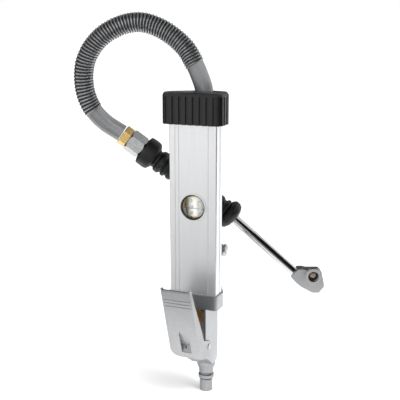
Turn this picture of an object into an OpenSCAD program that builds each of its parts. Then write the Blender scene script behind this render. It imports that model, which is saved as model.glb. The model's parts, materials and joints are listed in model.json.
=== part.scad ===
// Tyre inflator with a window gauge: die-cast valve housing, extruded tube,
// rubber boot, spring-guarded hose, rubber grip and twin-mouth chuck.
// Origin: centre of the inlet plug's open end. +Z up the body, -Y to the front.

/* [Tube] */
// Width of the extruded tube
tube_w = 40.6; // [34:0.2:50]
// Distance from the air axis to the tube's front face
tube_front = 30; // [24:0.5:32]
// Depth of the straight flanks behind the front face
tube_flank = 11.8; // [6:0.1:13]
// Radius of the round back of the tube
tube_back_r = 11.5; // [9:0.5:14]
// Wall of the tube
tube_wall = 1.6; // [1.2:0.1:3]
// Height of the collar's rim, where the tube starts to show
collar_top = 96; // [85:1:110]
// Height of the boot's lower edge, where the tube stops showing
boot_bottom = 234.4; // [180:0.2:280]

/* [Gauge] */
// Height of the window's centre
window_z = 168; // [140:1:200]
// Radius of the window hole in the tube
window_r = 11.3; // [8:0.1:12]
// Outer radius of the gauge cylinder
gauge_r = 9.8; // [8.5:0.1:10]
// Travel of the scale drum
drum_travel = 30; // [10:1:34]
// Half height of the cut-out that shows the drum
cut_half = 8; // [5:0.5:9]

/* [Boot] */
// Thickness of the boot over the tube
boot_t = 5.2; // [3:0.1:7]
// Distance between the grooves of the boot
rib_pitch = 5.7; // [4:0.1:8]
// Depth of the grooves
rib_depth = 1.2; // [0.4:0.1:1.5]
// Width of the grooves
rib_gap = 2.5; // [1:0.1:2.5]

/* [Valve housing] */
// Half width of the lower column
column_r = 10.5; // [9:0.5:13]
// Distance from the air axis to the front edge of the cheeks
column_front = 28; // [26:0.5:32]
// Height of the column's underside
column_z0 = 27.5; // [25:0.5:32]
// Height of the collar's underside
collar_z0 = 84; // [78:0.5:88]
// Thickness of the collar around the tube
collar_t = 1.4; // [1:0.1:3]
// Height of the valve's axis
valve_z = 75; // [70:0.5:75]

/* [Inlet plug] */
// Radius of the plug's nose
nose_r = 5.5; // [4:0.05:6]
// Bore of the plug
plug_bore = 2.7; // [2:0.1:3.5]

/* [Lever] */
// Outer width of the lever
lever_w = 24.8; // [24:0.1:30]
// Sheet thickness of the lever
sheet = 1.2; // [1:0.1:2]
// Lean of the lever away from the body, degrees
lean = 20.6; // [15:0.1:25]
// Length of the lever's plate
lever_len = 66.8; // [50:0.1:80]
// Radius of the pivot pin
pin_r = 1.8; // [1.5:0.1:2.5]

/* [Hose and chuck] */
// Radius of the hose
hose_r = 7.3; // [5:0.1:8]
// Outer radius of the spring guard
guard_r = 8.3; // [8:0.1:9]
// Radius of the chuck tube
chuck_r = 4; // [3:0.1:5]
// Radius of the mouth's bore
mouth_r = 4.6; // [4.2:0.1:5]
// Travel of a valve depressor
press_travel = 1; // [0.6:0.1:1.2]

/* [Hidden] */
$fn = 64;
e = 0.01;
half_w = tube_w / 2;
flank_y = -tube_front + tube_flank;
yaw = 22;                 // the hose and the chuck lie along this bearing
back_off = 20.4;          // how far the chuck's axis lies behind the air axis
wand_a = 42.4;            // fall of the chuck tube's axis
grip_s = -70.8;           // where the hose meets its ferrule
grip_z = 220.6;
wand_s = 9.3;             // where the chuck tube bends
wand_z = 160.5;
grip_a = atan2(grip_z - wand_z, wand_s - grip_s);  // fall of the grip's axis
bend_a = (grip_a + wand_a) / 2;
bend_t = norm([grip_z - wand_z, wand_s - grip_s]);
head_u = 91.5;            // from that bend to the chuck head
mouth_x = 11.95;           // the front mouth, in the head's frame
mouth_z = 9.5;
rear_off = [0.5, 0, -7.5]; // from the front mouth to the rear one, level
bleed_z = 126.5;
pin_y = -25.3;
pin_z = 50;
gauge_y = -17.7;
// Stations of the hose: along the bearing, height, offset behind the air axis
ROUTE = [[-1.6, 248, 0], [-1.6, 254.5, 0], [-2.7, 261.5, 0.3], [-5.6, 269.8, 1.4], [-9.6, 279.1, 2.7], [-16.9, 291.7, 4.1],
    [-29.2, 302.7, 5.4], [-42.4, 309.7, 6.8], [-55.2, 312.3, 8.2], [-69.2, 309.6, 9.6], [-82.8, 302.4, 11],
    [-93, 291.9, 12.4], [-99.1, 279.5, 13.8], [-100.8, 265.8, 15.1], [-99, 252.4, 16.5], [-93.6, 240.2, 18],
    [-84, 229.6, 19.4], [-70.8, 220.6, 20.4], [-56, 209.5, 20.4]];

function unit(v) = v / norm(v);
// Where the outer tangent of two circles meets them, going anticlockwise
function tan_a(a, b) = let (d = [b[0] - a[0], b[1] - a[1]])
    atan2(d[1], d[0]) - acos((a[2] - b[2]) / norm(d));
function on(c, t) = [c[0] + c[2] * cos(t), c[1] + c[2] * sin(t)];
function world(p) = [p[0] * cos(yaw) - p[2] * sin(yaw), p[0] * sin(yaw) + p[2] * cos(yaw), p[1]];
function cr(a, b, c, d, t) = 0.5 * (2 * b + (c - a) * t + (2 * a - 5 * b + 4 * c - d) * t * t
    + (3 * b - a - 3 * c + d) * t * t * t);
function smooth(c, n) = [for (i = [1:len(c) - 3], k = [0:n - 1]) cr(c[i - 1], c[i], c[i + 1], c[i + 2], k / n),
    c[len(c) - 2]];
function along(p, i) = unit(p[min(i + 1, len(p) - 1)] - p[max(i - 1, 0)]);
function rings(p, r, m, n0) = [for (i = [0:len(p) - 1]) let (t = along(p, i), a = unit(cross(t, n0)), b = cross(t, a))
    for (j = [0:m - 1]) p[i] + r * (cos(360 * j / m) * a + sin(360 * j / m) * b)];
function sides(o, n, m, flip) = [for (i = [0:n - 2], j = [0:m - 1])
    let (a = o + i * m + j, b = o + i * m + (j + 1) % m)
    each flip ? [[b, b + m, a + m], [b, a + m, a]] : [[a, a + m, b + m], [a, b + m, b]]];
hose_path = [for (p = smooth(ROUTE, 4)) world(p)];
n_back = [-sin(yaw), cos(yaw), 0];

// A solid bar swept along a path
module sweep(p, r, m = 12, n0 = n_back) {
    n = len(p);
    polyhedron(points = rings(p, r, m, n0), faces = concat([[for (j = [0:m - 1]) j]], sides(0, n, m, false),
        [[for (j = [m - 1:-1:0]) (n - 1) * m + j]]));
}
// A sleeve swept along a path
module sleeve(p, r, ri, m = 12, n0 = n_back) {
    n = len(p);
    k = n * m;
    polyhedron(points = concat(rings(p, r, m, n0), rings(p, ri, m, n0)), faces = concat(sides(0, n, m, false),
        sides(k, n, m, true), [for (j = [0:m - 1]) [j, (j + 1) % m, k + (j + 1) % m, k + j]],
        [for (j = [0:m - 1]) [k - m + j, 2 * k - m + j, 2 * k - m + (j + 1) % m, k - m + (j + 1) % m]]));
}
// The tube's outline, grown by o
module section(o = 0) {
    q = max(1.2 + o, 0.3);
    c = [[half_w + o - q, -tube_front - o + q, q], [half_w - 2, flank_y, 2 + o], [0, -1, tube_back_r + o]];
    m = [for (p = c) [-p[0], p[1], p[2]]];
    k = [c[0], c[1], c[2], m[1], m[0]];
    polygon([for (i = [0:4]) let (b = k[i], t0 = tan_a(k[(i + 4) % 5], b), d = (tan_a(b, k[(i + 1) % 5]) - t0 + 720) % 360,
        n = b[2] < 1 ? 2 : ceil(d / 10)) for (j = [0:n]) on(b, t0 + d * j / n)]);
}
module slab(z0, z1, o = 0) { translate([0, 0, z0]) linear_extrude(z1 - z0) section(o); }
module rod(r, z0, z1) { translate([0, 0, z0]) cylinder(r = r, h = z1 - z0); }
// A rod along Y at height z
module rod_y(r, y0, y1, z, x = 0) { translate([x, y0, z]) rotate([-90, 0, 0]) cylinder(r = r, h = y1 - y0); }
module rod_x(r, x0, x1, y, z) { translate([x0, y, z]) rotate([0, 90, 0]) cylinder(r = r, h = x1 - x0); }
// Puts children in the plane of the chuck, at s and z, with X falling by a
module lay(s, z, a) { translate([s * cos(yaw) - back_off * sin(yaw), s * sin(yaw) + back_off * cos(yaw), z])
    rotate([0, a, yaw]) children(); }
module on_grip() { lay(grip_s, grip_z, grip_a) children(); }
module on_wand() { lay(wand_s, wand_z, wand_a) children(); }
module on_head() { on_wand() translate([head_u, 0, 0]) children(); }
module bar(r, x0, x1) { translate([x0, 0, 0]) rotate([0, 90, 0]) cylinder(r = r, h = x1 - x0); }
module turned(pts) { rotate([0, 90, 0]) rotate_extrude() polygon(pts); }
function coil(r, p, n, z0) = [for (i = [0:20 * n]) [r * cos(i * 18), r * sin(i * 18), z0 + p * i / 20]];

module tube() color([0.86, 0.87, 0.88]) difference() {
    slab(86.3, 251);
    slab(86, 252, -tube_wall);
    rod_y(window_r, -tube_front - 1, -tube_front + 3, window_z);
    rod_x(4.3, 5, 20, 0, bleed_z);
    for (x = [-15.1, -11.8, 13.2]) translate([x - 0.2, -tube_front - 1, 86]) cube([0.4, 1.15, 170]);
    for (m = [0, 1]) mirror([m, 0, 0]) translate([half_w - 0.6, -23.2, 86]) cube([1, 1.3, 170]);
}
module window_bezel() color([0.80, 0.81, 0.82]) difference() {
    union() { rod_y(window_r - 0.02, -tube_front, gauge_y - 3.2, window_z); rod_y(window_r + 0.5, -tube_front - 0.5, -tube_front, window_z); }
    rod_y(window_r - 0.95, -tube_front - 1, -15, window_z);
    translate([0, gauge_y, window_z - 15]) cylinder(r = gauge_r + 0.15, h = 30);
}
module window_lens() color([0.9, 0.95, 0.97, 0.4]) rod_y(window_r - 1, -tube_front + 0.1, -tube_front + 1.1, window_z);
module window_seal() color([0.08, 0.08, 0.08]) difference() {
    rod_y(window_r - 1, -tube_front + 1.1, -tube_front + 1.75, window_z);
    rod_y(window_r - 2, -tube_front, -tube_front + 3, window_z);
}
module gauge_cylinder() color([0.78, 0.62, 0.30]) translate([0, gauge_y, 0]) difference() {
    rod(gauge_r, 100, 240);
    rod(gauge_r - 0.8, 99, 241);
    translate([-12, -14, window_z - cut_half]) cube([24, 11.5, 2 * cut_half]);
}
module gauge_foot() color([0.72, 0.58, 0.30]) translate([0, gauge_y, 0]) difference() {
    union() { rod(gauge_r, 86.1, 100); rod(gauge_r - 0.82, 99.5, 108); }
    rod(1.5, 86, 109);
}
module gauge_cap() color([0.72, 0.58, 0.30]) translate([0, gauge_y, 0]) difference() {
    union() { rod(gauge_r, 240, 242.5); rod(gauge_r - 0.82, 236, 240.5); }
    rod(2.2, 230, 244);
}
module gauge_spring() color([0.6, 0.6, 0.62]) translate([0, gauge_y, 0])
    sweep(coil(6.2, 6.5, 8, 182.8), 0.6, 6, [0, 0, 1]);
module scale_drum() color([0.95, 0.95, 0.93]) translate([0, gauge_y, 0]) difference() {
    rod(8.5, 120.2, 182);
    rod(2.1, 119, 183);
}
module gauge_rod() color([0.65, 0.65, 0.67]) translate([0, gauge_y, 0]) { rod(2, 114, 200); rod(3.4, 112.4, 114.6); }
module gauge_piston() color([0.72, 0.58, 0.30]) translate([0, gauge_y, 0]) difference() {
    union() { rod(8.8, 117.6, 120.2); rod(8.2, 114.6, 117.8); }
    rod(2.05, 110, 125);
}
module piston_seal() color([0.08, 0.08, 0.08]) translate([0, gauge_y, 0]) difference() {
    rod(8.92, 115, 117.4);
    rod(8.25, 110, 120);
}
module air_pipe() color([0.72, 0.58, 0.30]) difference() {
    union() { rod(4, 86.1, 244); rod_x(4.5, 0, 6.8, 0, bleed_z); }
    rod(2.8, 86, 250);
    rod_x(1.4, 0, 10, 0, bleed_z);
}
module top_plug() color([0.62, 0.63, 0.64]) difference() {
    union() { slab(244.1, 251.1, -tube_wall - 0.15); slab(251.1, 253.6, -0.1); }
    rod(5.5, 246, 260);
    rod(2.8, 240, 250);
}
module hose_nipple() color([0.80, 0.64, 0.32]) difference() {
    rod(5.48, 246.1, 253.65);
    rod(2.8, 240, 260);
}
module boot() color([0.13, 0.13, 0.14]) difference() {
    union() {
        difference() {
            slab(boot_bottom, 257.2, boot_t);
            for (k = [-4:3]) groove((k + 0.5) * rib_pitch, -tube_front - boot_t, -90);
            for (m = [0, 1]) mirror([m, 0, 0]) {
                groove(half_w - 1.2 + (1.2 + boot_t) * cos(35), -tube_front + 1.2 - (1.2 + boot_t) * sin(35), -35);
                for (k = [0:2]) groove(half_w + boot_t, -27.5 + k * rib_pitch, 0);
                for (k = [0:3]) groove(half_w - 2 + (2 + boot_t) * cos(24) - (1.5 + k * rib_pitch) * sin(24),
                    flank_y + (2 + boot_t) * sin(24) + (1.5 + k * rib_pitch) * cos(24), 24);
                for (k = [0:3]) groove((tube_back_r + boot_t) * sin(19 * k), -1 + (tube_back_r + boot_t) * cos(19 * k), 90 - 19 * k);
            }
        }
        hull() {
            $fn = 32;
            slab(256.9, 257.4, boot_t - 0.35);
            slab(258.6, 258.9, boot_t - 1);
            slab(259.3, 259.6, boot_t - 2.3);
        }
    }
    slab(boot_bottom - 1, 255.2, 0.1);
    translate([-1.6, 0, 250]) cylinder(r = 8.6, h = 20);
    translate([-50, -tube_front - boot_t + 4, 259.5]) rotate([-3.2, 0, 0]) cube([100, 100, 20]);
}
module groove(x, y, a) { translate([x, y, boot_bottom - 1]) rotate([0, 0, a]) translate([-rib_depth, -rib_gap / 2, 0]) cube([2 * rib_depth, rib_gap, 23]); }
module valve_housing() color([0.74, 0.75, 0.76]) difference() {
    union() {
        difference() {
            slab(collar_z0, collar_top, collar_t);
            slab(collar_z0 + 2, collar_top + 1, 0.05);
        }
        difference() {
            union() {
                translate([-column_r, -column_front, column_z0]) cube([2 * column_r, column_front - 2, collar_z0 - column_z0 + e]);
                translate([0, -2, 0]) rod(column_r, column_z0, collar_z0 + e);
            }
            for (m = [0, 1]) mirror([m, 0, 0]) translate([column_r, -1.7, 47]) rotate([-43.95, 0, 0]) rotate([0, 0, 8])
                translate([0, -60, -60]) cube([40, 120, 120]);
            translate([-8.7, -column_front - 1, 38]) cube([17.4, 10, collar_z0 - 38]);
            translate([-20, -29, 42]) rotate([-35.94, 0, 0]) translate([0, -20, -30]) cube([40, 60, 30]);
            for (m = [0, 1]) mirror([m, 0, 0]) translate([column_r - 1.3, -60, column_z0 - 1]) rotate([0, 32, 0]) translate([0, 0, -10]) cube([10, 120, 12.5]);
        }
    }
    rod_y(8.42, -22, -9, valve_z);
    rod_y(2.6, -10, 1, valve_z);
    rod(3, valve_z - 6, 90);
    rod(nose_r + 0.05, 20, 38.2);
    rod(3, 38, 58);
    translate([0, -11, 54]) rod(1.6, 0, 15);
    rod_y(2.2, -14, 1, 54.5);
    rod_x(pin_r + 0.02, -15, 15, pin_y, pin_z);
    translate([0, gauge_y, 80]) cylinder(r = 1.4, h = 10);
}
module inlet_plug() color([0.75, 0.76, 0.77]) rotate_extrude() polygon([[plug_bore, 0], [nose_r, 0],
    [nose_r, 10.2], [4.8, 10.7], [4.8, 11.2], [6.7, 11.6], [6.7, 14.6], [5.5, 15.2], [5.5, 16], [6.1, 16.6], [6.4, 20],
    [7.9, 23.5], [7.9, column_z0], [nose_r, column_z0], [nose_r, 38], [plug_bore, 38]]);
module lever_side() { translate([0, 0, 0]) rotate([90, 0, 90]) linear_extrude(sheet) difference() {
    union() {
        polygon([[-41.6, 45], [-43.6, 49], [-65.5, 107.5], [-66.4, 110.2], [-63.4, 110.2], [-61.6, 106.6], [-54.8, 93.4],
            [-46, 77.9], [-36, 58.8], [-27, 55.8], [-20.5, 47.6], [-21.2, 39.8], [-23, 39.2], [-38, 43.6]]);
        translate([pin_y, pin_z]) circle(r = 5.4);
    }
    translate([pin_y, pin_z]) circle(r = pin_r + 0.06);
} }
module on_plate() { translate([0, -42, 45]) rotate([lean, 0, 0]) children(); }
// The pocket's round-topped outline, grown by o, as a bar along Y
module pocket(o, y0, y1) { translate([0.5, y1, 0]) rotate([90, 0, 0]) linear_extrude(y1 - y0) {
    translate([0, 24.3]) circle(r = 4.2 + o);
    translate([-4.2 - o, 5.5 - o]) square([8.4 + 2 * o, 18.8 + o]);
} }
// Everything in front of the pocket's sloping floor, moved back by d
module floor_cut(d) { intersection() {
    translate([-20, 0.3 + d, 28.5]) rotate([11, 0, 0]) translate([0, -40, -60]) cube([60, 40, 100]);
    translate([-20, 0.4 + d, 5.5]) rotate([-42, 0, 0]) translate([0, -40, -60]) cube([60, 40, 100]);
} }
module lever() color([0.78, 0.79, 0.80]) {
    h = lever_w / 2;
    translate([h - sheet, 0, 0]) lever_side();
    difference() {
        translate([-h, 0, 0]) lever_side();
        on_plate() translate([-h - 1, -5, -12]) cube([sheet + 2, 13, 20]);
    }
    on_plate() {
        difference() {
            union() {
                rotate([-90, 0, 0]) linear_extrude(sheet) union() {
                    polygon([[-h, -lever_len], [h, -lever_len], [h, 0], [-h + 6.4, 0], [-h - 1.6, -8]]);
                    translate([-h + 6.4, -8]) circle(r = 7.98);
                }
                intersection() { pocket(0.9, 0.5, 7); floor_cut(0.6); }
            }
            intersection() { pocket(0, -1, 7); floor_cut(0); }
            for (k = [0:2]) translate([-h + 1.5, -0.6, lever_len - 8 - 3.2 * k]) cube([lever_w - 3, 0.9, 0.6]);
            translate([-0.9, -1, 8.4]) rotate([-90, 0, 0]) cylinder(r = 0.9, h = 12);
        }
        // folded lip and foot
        translate([-h, 1.3, lever_len - 0.2]) rotate([0, 90, 0]) cylinder(r = 1.3, h = lever_w);
        translate([-h + 8, 0, 0]) cube([lever_w - 8, 3.2, sheet]);
    }
}
module lever_pin() color([0.7, 0.7, 0.72]) { rod_x(pin_r, -12.6, 12.6, pin_y, pin_z); rod_x(2.5, 12.45, 12.9, pin_y, pin_z); rod_x(2.5, -12.9, -12.45, pin_y, pin_z); }
module valve_cap() color([0.72, 0.56, 0.28]) difference() {
    rod_y(8.4, -26.5, -9.1, valve_z);
    rod_y(6.6, -27, -25, valve_z);
    rod_y(2.06, -30, -20, valve_z);
    rod_y(6, -22.5, -8, valve_z);
}
module valve_stem() color([0.7, 0.7, 0.72]) {
    rod_y(2, -49.8, -16.2, valve_z);
    translate([0, -49.8, valve_z]) sphere(r = 2);
    rod_y(4.2, -20.9, -19.7, valve_z);
}
module stem_seal() color([0.08, 0.08, 0.08]) difference() {
    rod_y(4.6, -22.4, -20.95, valve_z);
    rod_y(2.02, -24, -18, valve_z);
}
module valve_spring() color([0.6, 0.6, 0.62]) translate([0, -19.1, valve_z]) rotate([-90, 0, 0]) sweep(coil(3.4, 1.5, 2, 0), 0.5, 6, [0, 0, 1]);
module bleed_bush() color([0.76, 0.77, 0.78]) difference() {
    union() {
        rod_x(4.2, 6.9, 14.9, 0, bleed_z);
        difference() { rod_x(4.9, 9, 14.9, 0, bleed_z); slab(bleed_z - 8, bleed_z + 8, 0.03); }
    }
    rod_x(1.55, 5, 15, 0, bleed_z);
    rod_x(3.2, 10, 16, 0, bleed_z);
}
module bleed_button() color([0.85, 0.86, 0.87]) translate([0, 0, bleed_z]) turned([[0, 7.7], [1.5, 7.7], [1.5, 15.8],
    [5.2, 15.8], [5.2, 16.9], [4.7, 17.5], [3, 18.1], [1.2, 18.3], [0, 18.3]]);
module bleed_spring() color([0.6, 0.6, 0.62]) translate([13, 0, bleed_z]) rotate([0, 90, 0]) sweep(coil(2.35, 1.2, 2, 0), 0.35, 6, [0, 0, 1]);
module hose() color([0.42, 0.43, 0.44]) sweep(hose_path, hose_r);
module spring_guard() color([0.72, 0.73, 0.74]) sleeve([for (i = [12:56]) hose_path[i]], guard_r, hose_r + 0.2);
module hexbar(af, x0, x1) { translate([x0, 0, 0]) rotate([0, 90, 0]) cylinder(r = af / sqrt(3), h = x1 - x0, $fn = 6); }
module ferrule() color([0.85, 0.66, 0.30]) on_grip() difference() {
    union() { hexbar(15.2, 0.8, 7.6); bar(5.6, 7.5, 14); }
    bar(2.8, -1, 20);
}
module coupling_nut() color([0.68, 0.69, 0.70]) on_grip() difference() {
    intersection() {
        hexbar(17, 7.8, 21.4);
        turned([[0, 7.8], [8.6, 7.8], [9.9, 9.1], [9.9, 20.1], [8.6, 21.4], [0, 21.4]]);
    }
    bar(5.65, 7, 15);
    bar(chuck_r + 0.3, 10, 25);
}
module grip() color([0.07, 0.07, 0.07]) {
    before_bend() on_grip() difference() {
        turned([[0, 21.7], [9, 21.7], [12.4, 22.9], [12.75, 25.5], [12.75, 31], [12, 33], [9.6, 34.6], [7.8, 35.6], [7.8, 37.4],
            [9.4, 38.6], [9.8, 40], [9.8, 42], [9, 43.4], [7.8, 44], [7.8, 44.8], [9.3, 46], [9.3, 48], [7.6, 49.2], [7.6, 50.4],
            [8.8, 51.6], [8.8, 54], [7.4, 55.4], [7.2, 57.5], [8.4, 59.5], [8.4, 82], [7.4, 84], [7.4, 94], [8.4, 96], [8.4, 104], [0, 104]]);
        bar(chuck_r + 0.02, 20, 110);
    }
    after_bend() on_wand() difference() {
        turned([[0, -4], [8.4, -4], [8.4, 1.6], [7.2, 3.4], [7.2, 5], [9.4, 6.4], [9.4, 8.2], [7.6, 9.2], [11, 10],
            [12.75, 12], [12.75, 15.2], [11.6, 17.6], [8.4, 19.6], [0, 19.6]]);
        bar(chuck_r + 0.02, -10, 26);
    }
}
module pipe(r, ri, x0, x1) { difference() { bar(r, x0, x1); bar(ri, x0 - 1, x1 + 1); } }
// Cuts at the bend: the grip's side, or the wand's side
module before_bend() { intersection() { children(); lay(wand_s, wand_z, bend_a) translate([-200, -100, -100]) cube([200, 200, 200]); } }
module after_bend() { intersection() { children(); lay(wand_s, wand_z, bend_a) translate([0, -100, -100]) cube([200, 200, 200]); } }
module chuck_tube() color([0.83, 0.84, 0.85]) {
    before_bend() on_grip() pipe(chuck_r, 2.6, 14.1, bend_t + 3);
    after_bend() on_wand() pipe(chuck_r, 2.6, -3, head_u + 5);
}
// The frame of the front mouth, level: X to the right, -Y out of the mouth
module on_mouth() { on_head() translate([mouth_x, 0, mouth_z]) rotate([0, -wand_a, 0]) children(); }
module chuck_head() color([0.70, 0.70, 0.71]) difference() {
    on_mouth() {
        rotate([90, 0, 0]) translate([0, 0, -6]) linear_extrude(12) polygon([[-12.9, 5.6], [-8.5, 5.6], [-6, 4.8], [5, 4.8],
            [7.4, 2.8], [9.2, -5], [9.8, -9.9], [5.5, -15.3], [-0.3, -15.3], [-10.2, -9.9], [-15.4, -5.6], [-18.7, -1.5]]);
        rod_y(6.9, -6.5, -3, 0);
        translate(rear_off) rod_y(6.9, 3, 6.5, 0);
    }
    on_head() bar(chuck_r + 0.02, -3, 5.1);
    on_head() bar(2.6, 0, 16);
    on_mouth() rod_y(5.63, -10, 0.5, 0);
    on_mouth() translate(rear_off) rod_y(5.6, -0.5, 10, 0);
}
// Mouth parts point along -Y of the mouth's frame; the rear ones are turned about
module at_mouth(back) { on_mouth() translate(back ? rear_off : [0, 0, 0]) rotate([0, 0, back ? 180 : 0]) children(); }
module mouth_ring(r) difference() {
    union() { rod_y(7.2, -9.5, -6.55, 0); rod_y(r, -6.6, -3, 0); }
    rod_y(mouth_r, -10, -6.6, 0);
    rod_y(mouth_r - 0.15, -7, -4.2, 0);
    rod_y(1.78, -5, -2, 0);
    for (a = [45:90:315]) rotate([0, a, 0]) translate([5.7, -10, -0.6]) cube([3, 1.1, 1.2]);
}
module mouth_seal() difference() { rod_y(mouth_r - 0.18, -5.8, -4.2, 0); rod_y(2.5, -9, -3, 0); }
module mouth_press() { rod_y(1.7, -6.3, -2.9 + press_travel + 0.3, 0); rod_y(3.4, -2.9, -2, 0); }
module front_mouth() color([0.88, 0.88, 0.89]) at_mouth(false) mouth_ring(5.6);
module rear_mouth() color([0.88, 0.88, 0.89]) at_mouth(true) mouth_ring(5.57);
module front_seal() color([0.06, 0.06, 0.06]) at_mouth(false) mouth_seal();
module rear_seal() color([0.06, 0.06, 0.06]) at_mouth(true) mouth_seal();
module front_depressor() color([0.80, 0.62, 0.42]) at_mouth(false) mouth_press();
module rear_depressor() color([0.80, 0.62, 0.42]) at_mouth(true) mouth_press();

tube();
window_bezel();
window_lens();
window_seal();
gauge_cylinder();
gauge_foot();
gauge_cap();
gauge_spring();
scale_drum();
gauge_rod();
gauge_piston();
piston_seal();
air_pipe();
top_plug();
hose_nipple();
boot();
valve_housing();
inlet_plug();
lever();
lever_pin();
valve_cap();
valve_stem();
stem_seal();
valve_spring();
bleed_bush();
bleed_button();
bleed_spring();
hose();
spring_guard();
ferrule();
coupling_nut();
grip();
chuck_tube();
chuck_head();
front_mouth();
front_seal();
front_depressor();
rear_mouth();
rear_seal();
rear_depressor();
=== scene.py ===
import bpy, bmesh, json, math
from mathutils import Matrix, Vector


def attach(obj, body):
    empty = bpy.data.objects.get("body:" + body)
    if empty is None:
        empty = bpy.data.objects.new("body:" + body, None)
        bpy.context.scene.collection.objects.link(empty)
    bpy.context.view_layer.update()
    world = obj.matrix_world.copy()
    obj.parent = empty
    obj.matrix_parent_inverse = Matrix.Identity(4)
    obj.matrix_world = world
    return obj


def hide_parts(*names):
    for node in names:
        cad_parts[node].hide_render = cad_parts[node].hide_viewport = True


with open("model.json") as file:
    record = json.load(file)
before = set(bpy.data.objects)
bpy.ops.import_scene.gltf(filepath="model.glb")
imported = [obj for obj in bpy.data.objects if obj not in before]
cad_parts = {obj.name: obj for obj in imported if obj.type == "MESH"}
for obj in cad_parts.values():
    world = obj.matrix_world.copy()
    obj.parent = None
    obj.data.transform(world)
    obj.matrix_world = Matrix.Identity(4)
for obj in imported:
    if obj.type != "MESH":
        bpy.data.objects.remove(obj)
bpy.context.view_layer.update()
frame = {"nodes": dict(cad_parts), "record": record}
MM = 0.001
NODES = frame["nodes"]
BODY_OF = {n: body for body, names in frame["record"]["behaviour"]["bodies"].items() for n in names}

# ---------------------------------------------------------------- camera
YAW, PITCH = math.radians(22), math.radians(12.6)
LENS_MM, SENSOR_MM = 78.3, 36
CAMERA_AT = (0.2584, -0.6539, 0.3251)
camera = bpy.data.objects.new("camera", bpy.data.cameras.new("camera"))
camera.data.lens, camera.data.sensor_width, camera.data.clip_end = LENS_MM, SENSOR_MM, 500
camera.location = CAMERA_AT
camera.rotation_euler = (math.pi / 2 - PITCH, 0, YAW)
bpy.context.collection.objects.link(camera)
bpy.context.scene.camera = camera
bpy.context.scene.view_settings.view_transform = "Standard"


def linear(code):
    """A colour written as sRGB hex, as the renderer wants it."""
    parts = [int(code[i:i + 2], 16) / 255 for i in (1, 3, 5)]
    return tuple(c / 12.92 if c <= 0.04045 else ((c + 0.055) / 1.055) ** 2.4 for c in parts) + (1,)


def add(tree, kind, inputs=None, **settings):
    """A node with its settings; inputs are values or other nodes' outputs."""
    made = tree.nodes.new(kind)
    for key, value in settings.items():
        setattr(made, key, value)
    for key, value in (inputs or {}).items():
        if isinstance(value, bpy.types.NodeSocket):
            tree.links.new(value, made.inputs[key])
        else:
            made.inputs[key].default_value = value
    return made


# ---------------------------------------------------------------- materials
def finish(name, colours, rough, grain_mm, metallic=0.0, stretch=(1, 1, 1), bump_mm=0.02, spread=0.08,
           blotch_mm=30,
           blotch=0.06, ior=None):
    """A surface with a grain of a real size, and slow changes of tone over it."""
    mat = bpy.data.materials.new(name)
    mat.use_nodes = True
    tree = mat.node_tree
    shader = tree.nodes["Principled BSDF"]
    place = add(tree, "ShaderNodeTexCoord").outputs["Object"]
    turned = add(tree, "ShaderNodeMapping", {"Vector": place, "Scale": stretch}).outputs["Vector"]
    grain = add(tree, "ShaderNodeTexNoise", {"Vector": turned, "Scale": 1000 / grain_mm,
                                             "Detail": 3.0}).outputs["Fac"]
    slow = add(tree, "ShaderNodeTexNoise", {"Vector": place, "Scale": 1000 / blotch_mm,
                                            "Detail": 2.0}).outputs["Fac"]
    tone = add(tree, "ShaderNodeMapRange", {"Value": grain, "From Min": 0.35,
                                            "From Max": 0.65}).outputs["Result"]
    pair = add(tree, "ShaderNodeMix", {"Factor": tone, 6: linear(colours[0]), 7: linear(colours[1])},
               data_type="RGBA").outputs[2]
    veil = add(tree, "ShaderNodeMapRange", {"Value": slow, "From Min": 0.3, "From Max": 0.7,
                                            "To Min": 1 - blotch,
                                            "To Max": 1.0}).outputs["Result"]
    shade = add(tree, "ShaderNodeMix", {"Factor": 1.0, 6: pair, 7: veil}, data_type="RGBA",
                blend_type="MULTIPLY").outputs[2]
    gloss = add(tree, "ShaderNodeMapRange", {"Value": grain, "From Min": 0.3, "From Max": 0.7,
                                             "To Min": rough - spread / 2,
                                             "To Max": rough + spread / 2}).outputs["Result"]
    relief = add(tree, "ShaderNodeBump", {"Height": grain, "Strength": 0.6,
                                          "Distance": bump_mm * MM}).outputs["Normal"]
    tree.links.new(shade, shader.inputs["Base Color"])
    tree.links.new(gloss, shader.inputs["Roughness"])
    tree.links.new(relief, shader.inputs["Normal"])
    shader.inputs["Metallic"].default_value = metallic
    if ior:
        shader.inputs["IOR"].default_value = ior
    return mat


# Bright-dipped and anodised extrusion: fine draw lines run up it, so highlights smear across them.
anodised = finish("anodised_extrusion", ("#f3f4f5", "#f7f8f9"), 0.40, 0.7, 1.0, (1, 1, 0.02), 0.0003, 0.01,
                  60, 0.02)
# Die-cast zinc alloy, tumbled: an even, slightly mottled satin.
diecast = finish("diecast_zinc", ("#a6a8aa", "#babcbe"), 0.40, 0.8, 1.0, bump_mm=0.012, spread=0.12,
                 blotch_mm=18)
# Pressed steel sheet, zinc-plated: pale grey satin with soft blotches from the bath.
plated_sheet = finish("zinc_plated_sheet", ("#a9aaab", "#b1b2b3"), 0.42, 1.2, 1.0, bump_mm=0.001, spread=0.04,
                      blotch_mm=14)
# Turned steel, bright nickel-plated: faint rings from the tool.
plated_turned = finish("nickel_plated_turned", ("#a6a7a8", "#c4c5c6"), 0.22, 0.5, 1.0, (0.2, 0.2, 3), 0.006,
                       0.08, 12)
# Chrome plate over polished steel: almost a mirror.
chrome = finish("chrome_plate", ("#c4c5c7", "#d0d1d3"), 0.12, 0.6, 1.0, bump_mm=0.0015, spread=0.04,
                blotch_mm=25, blotch=0.03)
# Chrome over a shot-blasted casting: the same metal, but satin.
satin_chrome = finish("satin_chrome_casting", ("#b6b7b9", "#c8c9cb"), 0.38, 0.5, 1.0, bump_mm=0.012,
                      spread=0.1, blotch_mm=12)
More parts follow.
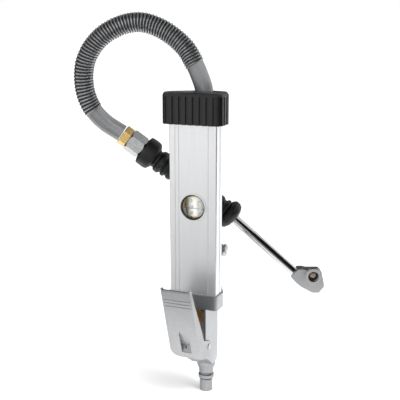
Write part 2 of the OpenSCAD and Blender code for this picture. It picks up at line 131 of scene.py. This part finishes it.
# The inlet plug: hardened steel, greyer than the rest of the turned pieces.
plug_steel = finish("hardened_plug_steel", ("#8d8e90", "#a2a3a5"), 0.30, 0.5, 1.0, (0.2, 0.2, 3), 0.006, 0.08,
                    12)
# The mouth rings: turned and brightly plated, nearly white.
bright_ring = finish("bright_turned_ring", ("#dddcda", "#efeeec"), 0.22, 0.5, 1.0, (3, 0.2, 3), 0.004, 0.06,
                     10)
# Turned brass, unlacquered: warm yellow with slightly browner patches.
brass = finish("turned_brass", ("#d9b264", "#edd092"), 0.27, 0.6, 1.0, bump_mm=0.006, spread=0.1, blotch_mm=8,
               blotch=0.14)
# The valve's cap: older brass, browner than the ferrule.
cap_brass = finish("browned_brass", ("#d69e58", "#f0c68c"), 0.30, 0.5, 1.0, (3, 0.2, 3), 0.008, 0.12, 7, 0.2)
# The depressors: red brass, paler and pinker than the ferrule.
red_brass = finish("turned_red_brass", ("#c39d86", "#dcbca8"), 0.30, 0.5, 1.0, bump_mm=0.006, spread=0.1,
                   blotch_mm=5)
# EPDM rubber, moulded in a blasted tool: charcoal, matt, with a faint bloom.
boot_rubber = finish("moulded_epdm_rubber", ("#090a0b", "#101112"), 0.42, 0.7, 0.0, bump_mm=0.02, spread=0.14,
                     blotch_mm=16,
                     blotch=0.18, ior=1.5)
# Nitrile rubber of the grip: blacker and a little shinier.
grip_rubber = finish("moulded_nitrile_rubber", ("#060607", "#0c0d0e"), 0.46, 0.9, 0.0, bump_mm=0.03,
                     spread=0.16, blotch_mm=12,
                     blotch=0.2, ior=1.5)
# Seals: plain black nitrile.
seal_rubber = finish("seal_rubber", ("#0b0b0c", "#141415"), 0.5, 0.5, 0.0, bump_mm=0.01, ior=1.5)
# Extruded PVC hose cover in mid grey, smooth with a soft shine.
hose_cover = finish("extruded_hose_cover", ("#7a7c7e", "#8a8c8e"), 0.34, 0.9, 0.6, bump_mm=0.008, spread=0.1,
                    blotch_mm=20,
                    blotch=0.1, ior=1.5)
# Drawn spring wire, bright: runs of grey along the wire.
spring_wire = finish("drawn_spring_wire", ("#9c9ea0", "#b4b6b8"), 0.28, 1.4, 1.0, bump_mm=0.008, spread=0.14,
                     blotch_mm=10, blotch=0.15)
# Acetal drum, white, with a fine turned texture.
white_acetal = finish("white_acetal", ("#e6e5e0", "#f2f1ed"), 0.45, 0.5, 0.0, (0.3, 0.3, 3), 0.01, 0.08, 10,
                      0.05, ior=1.48)
# Pad-printing ink of the scale.
ink = finish("printing_ink", ("#1a1a1c", "#2a2a2c"), 0.5, 0.3, 0.0, bump_mm=0.003, ior=1.5)


def clear_plastic():
    """Moulded acrylic window: clear, with a faint haze."""
    mat = finish("clear_acrylic", ("#f6f9fa", "#ffffff"), 0.05, 2.0, 0.0, bump_mm=0.001, spread=0.03,
                 blotch=0.02, ior=1.49)
    shader = mat.node_tree.nodes["Principled BSDF"]
    shader.inputs["Transmission Weight"].default_value = 1.0
    shader.inputs["Alpha"].default_value = 0.12
    return mat


clear = clear_plastic()


# ---------------------------------------------------------------- making pieces
def piece(bm, name, mat, body, stands_for=()):
    """Turns a bmesh into a piece of the object, riding on a body."""
    mesh = bpy.data.meshes.new(name)
    bm.to_mesh(mesh)
    bm.free()
    obj = bpy.data.objects.new(name, mesh)
    bpy.context.collection.objects.link(obj)
    obj.data.materials.append(mat)
    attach(obj, body)
    if stands_for:
        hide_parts(*stands_for)
    return obj


def soften(obj, width_mm, segments=3, angle=32):
    """Rounds the edges of a piece, and keeps its flat faces flat."""
    bevel = obj.modifiers.new("edges", "BEVEL")
    bevel.width, bevel.segments = width_mm * MM, segments
    bevel.limit_method, bevel.angle_limit = "ANGLE", math.radians(angle)
    bevel.miter_outer, bevel.use_clamp_overlap = "MITER_ARC", True
    obj.modifiers.new("flats", "WEIGHTED_NORMAL").keep_sharp = True
    return obj


def dressed(node, mat, width_mm, segments=3, angle=32, crisp=0):
    """A copy of a CAD node that stands for it, with its points merged and its edges rounded.

    crisp is the turn, in degrees, past which an edge stays sharp; with no width the faces stay flat."""
    bm = bmesh.new()
    bm.from_mesh(NODES[node].data)
    bmesh.ops.remove_doubles(bm, verts=bm.verts, dist=2e-6)
    if not crisp:
        bmesh.ops.dissolve_limit(bm, angle_limit=math.radians(0.8), verts=bm.verts, edges=bm.edges)
    for f in bm.faces:
        f.smooth = width_mm > 0
    if crisp:
        for e in bm.edges:
            e.smooth = e.calc_face_angle(0) < math.radians(crisp)
    obj = piece(bm, node + "_finished", mat, BODY_OF[node], (node,))
    return soften(obj, width_mm, segments, angle) if width_mm else obj


# ---------------------------------------------------------------- hose and its spring guard
# Stations of the hose in mm: along its bearing, height, and offset behind the air axis.
ROUTE = [(-1.6, 248, 0), (-1.6, 254.5, 0), (-2.7, 261.5, 0.3), (-5.6, 269.8, 1.4), (-9.6, 279.1, 2.7),
         (-16.9, 291.7, 4.1),
         (-29.2, 302.7, 5.4), (-42.4, 309.7, 6.8), (-55.2, 312.3, 8.2), (-69.2, 309.6, 9.6),
         (-82.8, 302.4, 11),
         (-93, 291.9, 12.4), (-99.1, 279.5, 13.8), (-100.8, 265.8, 15.1), (-99, 252.4, 16.5),
         (-93.6, 240.2, 18),
         (-84, 229.6, 19.4), (-70.8, 220.6, 20.4), (-56, 209.5, 20.4)]
BACK = Vector((-math.sin(YAW), math.cos(YAW), 0))


def in_world(station):
    """A station of the route, in metres in the frame."""
    along, up, behind = station
    x = along * math.cos(YAW) - behind * math.sin(YAW)
    y = along * math.sin(YAW) + behind * math.cos(YAW)
    return Vector((x, y, up)) * MM


def smooth_route(stations, n):
    """A smooth line through all stations but the first and the last, n steps between neighbours."""
    out = []
    for i in range(1, len(stations) - 2):
        a, b, c, d = (Vector(stations[k]) for k in (i - 1, i, i + 1, i + 2))
        for k in range(n):
            t = k / n
            out.append(0.5 * (2 * b + (c - a) * t + (2 * a - 5 * b + 4 * c - d) * t * t
                              + (3 * b - a - 3 * c + d) * t ** 3))
    out.append(Vector(stations[-2]))
    return [in_world(p) for p in out]


def length_of(line):
    return sum((q - p).length for p, q in zip(line, line[1:]))


def tube_curve(name, line, radius, mat, body, sides=6):
    """A round bar along a line of points."""
    data = bpy.data.curves.new(name, "CURVE")
    data.dimensions, data.bevel_depth, data.bevel_resolution, data.use_fill_caps = "3D", radius, sides, True
    spline = data.splines.new("POLY")
    spline.points.add(len(line) - 1)
    for point, at in zip(spline.points, line):
        point.co = (*at, 1)
    spline.use_smooth = True
    data.materials.append(mat)
    obj = bpy.data.objects.new(name, data)
    bpy.context.collection.objects.link(obj)
    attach(obj, body)
    return obj


HOSE_R = 7.3
hose_line = smooth_route(ROUTE, 8)
hose = tube_curve("hose_cover", hose_line, HOSE_R * MM, hose_cover, "inflator_body", 7)
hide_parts("hose")


def wound(line, first, last, radius, near_pitch, far_pitch, steps=14):
    """A wire wound round a stretch of a line; the turns open up from the first end to the last."""
    fine = line[first:last + 1]
    total, out, angle, walked = length_of(fine), [], 0.0, 0.0
    marks = [0.0]
    for p, q in zip(fine, fine[1:]):
        marks.append(marks[-1] + (q - p).length)
    k = 0
    while walked < total:
        while k < len(fine) - 2 and marks[k + 1] < walked:
            k += 1
        share = (walked - marks[k]) / (marks[k + 1] - marks[k])
        at = fine[k].lerp(fine[k + 1], share)
        before, after = fine[max(k - 1, 0)], fine[min(k + 2, len(fine) - 1)]
        along = (after - before).normalized()
        side = along.cross(BACK).normalized()
        out.append(at + radius * (math.cos(angle) * side + math.sin(angle) * along.cross(side)))
        pitch = near_pitch + (far_pitch - near_pitch) * walked / total
        angle += 2 * math.pi / steps
        walked += pitch / steps
    return out


# The guard covers the hose from one point of its line to another; its wire sinks a little into the black
# sleeve of painted shade.
GUARD_FIRST, GUARD_LAST = 24, 112
WIRE_R, WINDING_R, SHADE_SLEEVE_R = 0.75, 7.5, 7.65
NEAR_PITCH, FAR_PITCH = 2.35, 2.65
guard_line = wound(hose_line, GUARD_FIRST, GUARD_LAST, WINDING_R * MM, NEAR_PITCH * MM, FAR_PITCH * MM)
guard = tube_curve("spring_guard_wire", guard_line, WIRE_R * MM, spring_wire, "inflator_body", 2)
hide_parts("spring_guard")

# A black sleeve under the guard's wire: painted shade, a dark thing put where the gaps between the turns fall
# into shade over the grey hose.
guard_gap_shade = tube_curve("guard_gap_shade_sleeve", hose_line[GUARD_FIRST + 1:GUARD_LAST], SHADE_SLEEVE_R * MM,
                         seal_rubber, "inflator_body", 6)
ferrule = dressed("ferrule", brass, 0.5, 3)

# ---------------------------------------------------------------- pieces that follow the CAD shapes closely
# The turn, in degrees, past which the edges of sheet, extrusion and casting stay sharp.
CRISP = {"lever": 3, "tube": 32, "valve_housing": 32}
for node, mat, width in (("tube", anodised, 0.25), ("window_bezel", anodised, 0.2),
                         ("boot", boot_rubber, 0.55),
                         ("valve_housing", diecast, 0.45), ("inlet_plug", plug_steel, 0.25),
                         ("lever", plated_sheet, 0),
                         ("lever_pin", plated_turned, 0.3), ("valve_cap", cap_brass, 0.35),
                         ("coupling_nut", plated_turned, 0.45),
                         ("grip", grip_rubber, 0.9), ("chuck_head", satin_chrome, 0.7),
                         ("bleed_button", plated_turned, 0.5),
                         ("bleed_bush", plated_turned, 0.3), ("front_mouth", bright_ring, 0.3),
                         ("rear_mouth", bright_ring, 0.3),
                         ("front_depressor", red_brass, 0.3), ("rear_depressor", red_brass, 0.3)):
    dressed(node, mat, width, 3, 24 if node == "grip" else 32, crisp=CRISP.get(node, 0))

for node, mat in (("window_lens", clear), ("window_seal", seal_rubber), ("gauge_cylinder", brass),
                  ("gauge_foot", brass),
                  ("gauge_cap", brass), ("gauge_spring", spring_wire), ("scale_drum", white_acetal),
                  ("gauge_rod", plated_turned),
                  ("gauge_piston", brass), ("piston_seal", seal_rubber), ("air_pipe", brass),
                  ("top_plug", diecast),
                  ("hose_nipple", brass), ("valve_stem", plated_turned), ("stem_seal", seal_rubber),
                  ("valve_spring", spring_wire),
                  ("bleed_spring", spring_wire), ("chuck_tube", chrome), ("front_seal", seal_rubber),
                  ("rear_seal", seal_rubber)):
    for s in NODES[node].material_slots:
        s.material = mat

# ---------------------------------------------------------------- the printed scale and the index line
DRUM_Y, DRUM_R, WINDOW_Z = -17.7, 8.5, 168.0
INK_LIFT = 0.04
SCALE_TOP, FIGURE_PITCH, TICK_PITCH = WINDOW_Z + 4.4, 4.9, 0.98
PRINT_FROM, PRINT_TO = 122, 180
FIGURE_SIZE, FIGURE_X, TICK_X = 3.3, -2.6, 2.2


def bend_on_drum(bm, x, z):
    """Bends flat work round the drum, its middle at x along the drum's face and z up it."""
    for v in bm.verts:
        turn = (v.co.x / MM + x) / DRUM_R
        up = v.co.y / MM + z
        out = DRUM_R + INK_LIFT
        v.co = Vector((math.sin(turn) * out, DRUM_Y - math.cos(turn) * out, up)) * MM
    return bm


def printed(text, size, x, z):
    """Figures printed on the drum: flat letters bent round it."""
    data = bpy.data.curves.new("figure", "FONT")
    data.body, data.size, data.align_x, data.align_y = text, size * MM, "CENTER", "CENTER"
    flat = bpy.data.objects.new("figure", data)
    mesh = bpy.data.meshes.new_from_object(flat)
    bpy.data.objects.remove(flat)
    bm = bmesh.new()
    bm.from_mesh(mesh)
    bpy.data.meshes.remove(mesh)
    return bend_on_drum(bm, x, z)


def tick(wide, x, z):
    """One line of the scale."""
    bm = bmesh.new()
    bmesh.ops.create_grid(bm, x_segments=6, y_segments=1, size=0.5 * MM)
    bmesh.ops.scale(bm, vec=(wide, 0.22, 1), verts=bm.verts)
    return bend_on_drum(bm, x + wide / 2, z)


def absorb(whole, part):
    """Adds one bmesh to another."""
    spare = bpy.data.meshes.new("spare")
    part.to_mesh(spare)
    part.free()
    whole.from_mesh(spare)
    bpy.data.meshes.remove(spare)


def scale_marks():
    """All the drum's figures and lines, as one piece of ink."""
    whole = bmesh.new()
    for row in range(-2, 10):
        z = SCALE_TOP - FIGURE_PITCH * row
        if PRINT_FROM < z < PRINT_TO:
            absorb(whole, printed(str(10 * max(row, 0)), FIGURE_SIZE, FIGURE_X, z))
    for k in range(48):
        z = SCALE_TOP - TICK_PITCH * k
        if PRINT_FROM < z < PRINT_TO:
            absorb(whole, tick(3.4 if k % 5 == 0 else 1.8, TICK_X, z))
    return piece(whole, "scale_print", ink, "gauge")


def index_line():
    """The line across the window that the scale is read against."""
    bm = bmesh.new()
    bmesh.ops.create_cube(bm, size=1)
    bmesh.ops.scale(bm, vec=(18.2 * MM, 0.12 * MM, 0.28 * MM), verts=bm.verts)
    bmesh.ops.bevel(bm, geom=bm.edges[:], offset=0.03 * MM, offset_type="OFFSET", segments=2, profile=0.5,
                    affect="EDGES", material=-1)
    bmesh.ops.translate(bm, vec=(0, -28.82 * MM, (WINDOW_Z - 1.0) * MM), verts=bm.verts)
    return piece(bm, "index_line", ink, "inflator_body")


scale_marks()
index_line()

# ---------------------------------------------------------------- floor and light
def set_piece(bm, name, mat, only_reflected=False):
    """Turns a bmesh into a thing of the set; only_reflected keeps it to the object's reflections."""
    mesh = bpy.data.meshes.new(name)
    bm.to_mesh(mesh)
    bm.free()
    mesh.materials.append(mat)
    obj = bpy.data.objects.new(name, mesh)
    bpy.context.collection.objects.link(obj)
    if only_reflected:
        obj.visible_camera = obj.visible_diffuse = obj.visible_shadow = obj.visible_transmission = False
    return obj


def bare_material(name):
    """A material with no surface yet."""
    mat = bpy.data.materials.new(name)
    mat.use_nodes = True
    mat.node_tree.nodes.remove(mat.node_tree.nodes["Principled BSDF"])
    return mat


def light_up(mat, inputs):
    """Makes a bare material give its own light."""
    tree = mat.node_tree
    glow = add(tree, "ShaderNodeEmission", inputs)
    tree.links.new(glow.outputs["Emission"], tree.nodes["Material Output"].inputs["Surface"])
    return mat


floor_mat = bpy.data.materials.new("pale_floor")
floor_mat.use_nodes = True
tree = floor_mat.node_tree
spot = add(tree, "ShaderNodeTexCoord").outputs["Object"]
grey = add(tree, "ShaderNodeTexNoise", {"Vector": spot, "Scale": 6.0, "Detail": 2.0}).outputs["Fac"]
pale = add(tree, "ShaderNodeMix", {"Factor": grey, 6: linear("#f7f7f7"), 7: linear("#fafafa")},
           data_type="RGBA").outputs[2]
tree.links.new(pale, tree.nodes["Principled BSDF"].inputs["Base Color"])
tree.nodes["Principled BSDF"].inputs["Roughness"].default_value = 0.9
bm = bmesh.new()
bmesh.ops.create_grid(bm, x_segments=1, y_segments=1, size=60)
bmesh.ops.translate(bm, vec=(0, 0, -0.0003), verts=bm.verts)
set_piece(bm, "floor", floor_mat)

world = bpy.data.worlds.new("studio")
world.use_nodes = True
bpy.context.scene.world = world
tree = world.node_tree
way = add(tree, "ShaderNodeTexCoord").outputs["Generated"]
up = add(tree, "ShaderNodeSeparateXYZ", {"Vector": way}).outputs["Z"]
# A white cove, bright round about, with a black ceiling that draws the dark line along the top of chrome.
cove = add(tree, "ShaderNodeMapRange", {"Value": up, "From Min": 0.66, "From Max": 0.80, "To Min": 1.0,
                                        "To Max": 0.03},
           interpolation_type="SMOOTHSTEP").outputs["Result"]
tree.links.new(cove, tree.nodes["Background"].inputs["Strength"])
tree.nodes["Background"].inputs["Color"].default_value = (1, 1, 1, 1)


def lamp(name, where, at, size, power):
    data = bpy.data.lights.new(name, "AREA")
    data.shape, data.size, data.size_y, data.energy = "RECTANGLE", size[0], size[1], power
    obj = bpy.data.objects.new(name, data)
    obj.location = where
    obj.rotation_euler = (Vector(at) - Vector(where)).to_track_quat("-Z", "Y").to_euler()
    obj.visible_glossy = False
    bpy.context.collection.objects.link(obj)


lamp("key_softbox", (0.75, -0.35, 0.95), (0, 0, 0.12), (0.5, 0.7), 7)
lamp("left_softbox", (-0.9, -0.5, 0.5), (0, 0, 0.15), (0.4, 0.9), 4)
data = bpy.data.lights.new("overhead", "SUN")
data.energy, data.angle = 2.8, math.radians(60)
sun = bpy.data.objects.new("overhead", data)
sun.visible_glossy = False
sun.rotation_euler = Vector((-0.55, 0.3, -1)).to_track_quat("-Z", "Y").to_euler()
bpy.context.collection.objects.link(sun)

# A grey card before the object that only its reflections show: dark near the foot, white far off.
card_mat = bare_material("grey_card")
tree = card_mat.node_tree
spot = add(tree, "ShaderNodeTexCoord").outputs["Object"]
far = add(tree, "ShaderNodeVectorMath", {0: spot}, operation="LENGTH").outputs["Value"]
tone = add(tree, "ShaderNodeMapRange", {"Value": far, "From Min": 0.25, "From Max": 1.1, "To Min": 0.38,
                                        "To Max": 1.0}).outputs["Result"]
light_up(card_mat, {"Strength": tone})
bm = bmesh.new()
bmesh.ops.create_grid(bm, x_segments=1, y_segments=1, size=1)
bmesh.ops.scale(bm, vec=(2.4, 1.5, 1), verts=bm.verts)
bmesh.ops.translate(bm, vec=(0, -1.62, 0.002), verts=bm.verts)
set_piece(bm, "reflection_card", card_mat, only_reflected=True)


def dark_board(name, first, last, away, height):
    """A curved black board beside the object, seen only as the dark line it draws along polished edges."""
    turn = math.radians(first)
    bm = bmesh.new()
    foot = [bm.verts.new((away * math.sin(turn), -away * math.cos(turn), 0.003))]
    bmesh.ops.spin(bm, geom=foot, cent=(0, 0, 0), axis=(0, 0, 1), angle=math.radians(last - first), steps=12)
    raised = bmesh.ops.extrude_edge_only(bm, edges=bm.edges[:])["geom"]
    top = [v for v in raised if isinstance(v, bmesh.types.BMVert)]
    bmesh.ops.translate(bm, vec=(0, 0, height), verts=top)
    black = light_up(bare_material(name), {"Color": linear("#161616"), "Strength": 1.0})
    set_piece(bm, name, black, only_reflected=True)


dark_board("right_board", 35, 120, 0.5, 0.45)
dark_board("left_board", -155, -75, 0.5, 0.45)
dark_board("rear_board", 170, 203, 0.5, 0.45)
